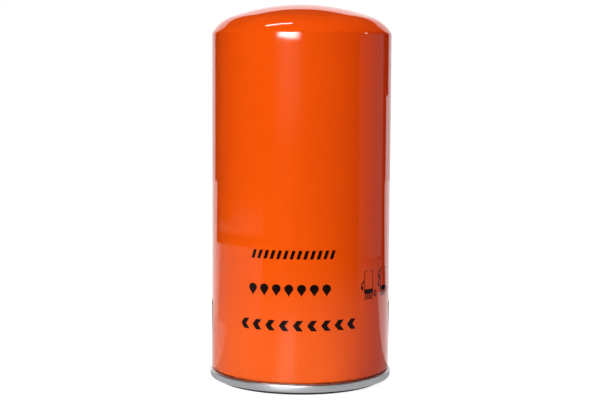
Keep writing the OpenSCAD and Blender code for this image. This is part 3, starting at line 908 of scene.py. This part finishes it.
def glow_material(name, strength, colour=(1, 1, 1), fades=()):
    """Even light; each fade is (kind, none, full), where kind is "azimuth", "height" or "distance"."""
    material = bpy.data.materials.new(name)
    material.use_nodes = True
    tree = material.node_tree
    tree.nodes.clear()
    out = tree.nodes.new("ShaderNodeOutputMaterial")
    glow = tree.nodes.new("ShaderNodeEmission")
    glow.inputs["Color"].default_value = (*colour, 1)
    glow.inputs["Strength"].default_value = strength
    tree.links.new(glow.outputs[0], out.inputs["Surface"])
    if not fades:
        return material
    place = tree.nodes.new("ShaderNodeTexCoord").outputs["Object"]
    split = tree.nodes.new("ShaderNodeSeparateXYZ")
    tree.links.new(place, split.inputs[0])

    def math_node(operation, a, b):
        made = tree.nodes.new("ShaderNodeMath")
        made.operation = operation
        for socket, value in zip(made.inputs, (a, b)):
            if isinstance(value, (int, float)):
                socket.default_value = value
            else:
                tree.links.new(value, socket)
        return made.outputs[0]

    total = strength
    for kind, none, full in fades:
        if kind == "azimuth":
            value = math_node("ARCTAN2", split.outputs["X"], math_node("MULTIPLY", split.outputs["Y"], -1))
            none, full = math.radians(none), math.radians(full)
        elif kind == "height":
            value = split.outputs["Z"]
        else:
            length = tree.nodes.new("ShaderNodeVectorMath")
            length.operation = "LENGTH"
            tree.links.new(place, length.inputs[0])
            value = length.outputs["Value"]
        ramp = tree.nodes.new("ShaderNodeMapRange")
        ramp.interpolation_type = "SMOOTHSTEP"
        ramp.inputs["From Min"].default_value = none
        ramp.inputs["From Max"].default_value = full
        tree.links.new(value, ramp.inputs["Value"])
        total = math_node("MULTIPLY", ramp.outputs["Result"], total)
    tree.links.new(total, glow.inputs["Strength"])
    clear = tree.nodes.new("ShaderNodeBsdfTransparent")
    both = tree.nodes.new("ShaderNodeAddShader")
    tree.links.new(clear.outputs[0], both.inputs[0])
    tree.links.new(glow.outputs[0], both.inputs[1])
    tree.links.new(both.outputs[0], out.inputs["Surface"])
    return material


floor_material = bpy.data.materials.new("floor")
floor_material.use_nodes = True
floor_shader = floor_material.node_tree.nodes["Principled BSDF"]
floor_shader.inputs["Base Color"].default_value = (0.35, 0.35, 0.35, 1)
floor_shader.inputs["Roughness"].default_value = 0.9
floor_shader.inputs["Specular IOR Level"].default_value = 0.0
floor_shader.inputs["Emission Color"].default_value = (1, 1, 1, 1)
floor_nodes, floor_links = floor_material.node_tree.nodes, floor_material.node_tree.links
floor_place = floor_nodes.new("ShaderNodeTexCoord")
floor_length = floor_nodes.new("ShaderNodeVectorMath")
floor_length.operation = "LENGTH"
floor_rise = floor_nodes.new("ShaderNodeMapRange")
for socket, value in (("From Min", 0.3), ("From Max", 1.1), ("To Min", 0.88), ("To Max", 1.0)):
    floor_rise.inputs[socket].default_value = value
floor_links.new(floor_place.outputs["Object"], floor_length.inputs[0])
floor_links.new(floor_length.outputs["Value"], floor_rise.inputs["Value"])
floor_links.new(floor_rise.outputs["Result"], floor_shader.inputs["Emission Strength"])
FLOOR = 6.0
plane("floor", [(-FLOOR, -FLOOR, 0), (FLOOR, -FLOOR, 0), (FLOOR, FLOOR, 0), (-FLOOR, FLOOR, 0)], floor_material,
      glossy=False, diffuse=False)


def polar(distance, azimuth):
    """A point at a distance from the filter; azimuth 0 is towards the camera and positive to its right."""
    t = math.radians(azimuth)
    return distance * math.sin(t), -distance * math.cos(t)


ONLY_GLOSSY = {"camera": False, "diffuse": False, "shadow": False, "transmission": False}


def card(name, distance, a, b, z_low, z_high, strength, pieces=1, fades=()):
    """An upright card around the filter from azimuth a to b, seen only in reflections."""
    material = glow_material(name, strength, fades=fades)
    for i in range(pieces):
        x0, y0 = polar(distance, a + (b - a) * i / pieces)
        x1, y1 = polar(distance, a + (b - a) * (i + 1) / pieces)
        plane(f"{name}_{i}", [(x0, y0, z_low), (x1, y1, z_low), (x1, y1, z_high), (x0, y0, z_high)],
              material, **ONLY_GLOSSY)


def floor_card(name, corners, strength, z=0.0005, fades=()):
    """A card on the floor, seen only in reflections."""
    plane(name, [(x, y, z) for x, y in corners], glow_material(name, strength, fades=fades), **ONLY_GLOSSY)


def sector(inner, outer, a, b, count=6):
    """Corners of a ring sector on the floor around the filter."""
    edges = [polar(outer, a + (b - a) * i / count) for i in range(count + 1)]
    return edges + [polar(inner, b + (a - b) * i / count) for i in range(count + 1)]


# White surroundings behind, seen at grazing angles all round the outline
card("back", 1.6, 165, 217, 0.0, 1.05, 1.08, 5)
card("back_right", 1.6, 145, 165, 0.0, 1.05, 0.9, 2)
card("back_low_right", 1.55, 137, 145, 0.0, 0.15, 1.1)
# Pale wall on the right, brighter towards its back edge
WALL = (75, 123)
for i, strength in enumerate((0.20, 0.23, 0.27, 0.30, 0.31, 0.30)):
    step = (WALL[1] - WALL[0]) / 6
    card(f"right_wall_{i}", 0.62, WALL[0] + step * i, WALL[0] + step * (i + 1), 0.0, 0.27, strength)
# Far wall in front, lit softly from above
card("front_wall", 3.0, -44, 12, 0.0, 0.4, 0.46, 4,
     (("azimuth", -40, -15), ("azimuth", 9, -14), ("height", -0.08, 0.22)))
# Lamps seen in the shoulder: one in front, one overhead and a small one on the right
card("lamp_front", 1.5, -36, 2, 0.262, 0.55, 30, 2,
     (("azimuth", -34, -22), ("azimuth", 1, -11), ("height", 0.262, 0.276)))
card("lamp_right", 1.45, 86, 90, 0.35, 0.60, 22)
plane("lamp_over", [(-0.64, -0.07, 1.45), (-0.15, -0.07, 1.45), (-0.15, 0.02, 1.45), (-0.64, 0.02, 1.45)],
      glow_material("lamp_over", 18), **ONLY_GLOSSY)
# White table
floor_card("table_left", sector(0.05, 0.72, -47.6, -90), 0.44)
floor_card("table_left_back", sector(0.05, 0.72, -90, -124), 0.42)
floor_card("table_edge_left", sector(0.05, 0.72, -124, -150), 1.0)
floor_card("table_near_left", sector(0.05, 0.24, -100, -150), 0.8, 0.001)
floor_card("table_far_left", sector(0.84, 1.30, -47.6, -95), 0.24, fades=(("distance", 1.30, 0.92),))
floor_card("table_far_back", sector(0.84, 0.95, -95, -126), 0.2)
floor_card("table_front", sector(0.05, 0.60, 75, -47.6), 0.40, fades=(("distance", 0.62, 0.12),))
floor_card("table_right", sector(0.05, 0.60, 124, 75), 0.34, fades=(("distance", 1.1, 0.15),))
floor_card("table_edge_right", sector(0.38, 1.6, 150, 134), 1.2)
floor_card("table_near_right", sector(0.05, 0.38, 150, 112), 1.2, 0.001)
floor_card("table_glow", sector(0.07, 0.35, 0, -28), 0.75, 0.001,
           (("distance", 0.36, 0.2), ("azimuth", -28, -16), ("azimuth", 0, -11)))
floor_card("table_back", sector(0.3, 1.6, 150, 225), 1.2, 0.0015)
# Light from the table on the lower part of the can
plane("table_bounce", [(x, y, 0.0008) for x, y in sector(0.06, 0.17, 30, -110, 12)],
      glow_material("table_bounce", 1.9, (0.65, 1.0, 0.8)),
      camera=False, glossy=False, shadow=False, transmission=False)


def area_light(name, azimuth, elevation, distance, size, power, colour=(1, 1, 1), glossy=False, tall=None, aim_z=0.11):
    data = bpy.data.lights.new(name, "AREA")
    data.shape = "RECTANGLE"
    data.size = size
    data.size_y = tall or size
    data.energy = power
    data.color = colour
    light = bpy.data.objects.new(name, data)
    aim = Vector((0, 0, aim_z))
    x, y = polar(distance * math.cos(math.radians(elevation)), azimuth)
    light.location = Vector((x, y, aim_z + distance * math.sin(math.radians(elevation))))
    light.rotation_euler = (aim - light.location).to_track_quat("-Z", "Y").to_euler()
    bpy.context.scene.collection.objects.link(light)
    light.visible_glossy = glossy
    light.visible_camera = False
    return light


area_light("key", -20, 3, 0.34, 0.10, 1.24, (1.0, 1.0, 0.94), tall=0.5, aim_z=0.18)
area_light("fill_right", 85, 12, 1.8, 1.2, 14.0, (1.0, 0.52, 0.22))
area_light("fill_left", -95, 10, 1.6, 1.0, 2.2, (1.0, 0.25, 0.15))
area_light("top", 0, 88, 1.5, 0.6, 10)
area_light("rear", 180, 30, 2.0, 2.0, 25)

# Surroundings: white behind the filter, dim in its reflections, warm on its matt surfaces
world = bpy.data.worlds.new("surroundings")
bpy.context.scene.world = world
world.use_nodes = True
nodes, links = world.node_tree.nodes, world.node_tree.links
nodes.clear()


def background(colour, strength):
    made = nodes.new("ShaderNodeBackground")
    made.inputs["Color"].default_value = (*colour, 1)
    made.inputs["Strength"].default_value = strength
    return made.outputs[0]


def choose(ray, otherwise, chosen):
    """One background for a kind of ray and another for the rest."""
    made = nodes.new("ShaderNodeMixShader")
    for socket, source in zip(made.inputs, (path.outputs[ray], otherwise, chosen)):
        links.new(source, socket)
    return made.outputs[0]


path = nodes.new("ShaderNodeLightPath")
unseen = choose("Is Diffuse Ray", background((1, 1, 1), 0.02), background((1.0, 0.32, 0.22), 0.12))
world_out = nodes.new("ShaderNodeOutputWorld")
links.new(choose("Is Camera Ray", unseen, background((1, 1, 1), 1.0)), world_out.inputs["Surface"])

bpy.context.scene.view_settings.view_transform = "Standard"

# ---- Camera ----

CAMERA_PLACE = (-0.0006, -0.8406, 0.1848)
CAMERA_PITCH = 5.168
CAMERA_ROLL = 0.311
camera_data = bpy.data.cameras.new("camera")
camera_data.sensor_width = 36
camera_data.lens = 83.29
camera_data.clip_start = 0.01
camera = bpy.data.objects.new("camera", camera_data)
bpy.context.scene.collection.objects.link(camera)
camera.matrix_world = (Matrix.Translation(CAMERA_PLACE) @ Matrix.Rotation(math.radians(90 - CAMERA_PITCH), 4, "X")
                       @ Matrix.Rotation(math.radians(CAMERA_ROLL), 4, "Z"))
bpy.context.scene.camera = camera
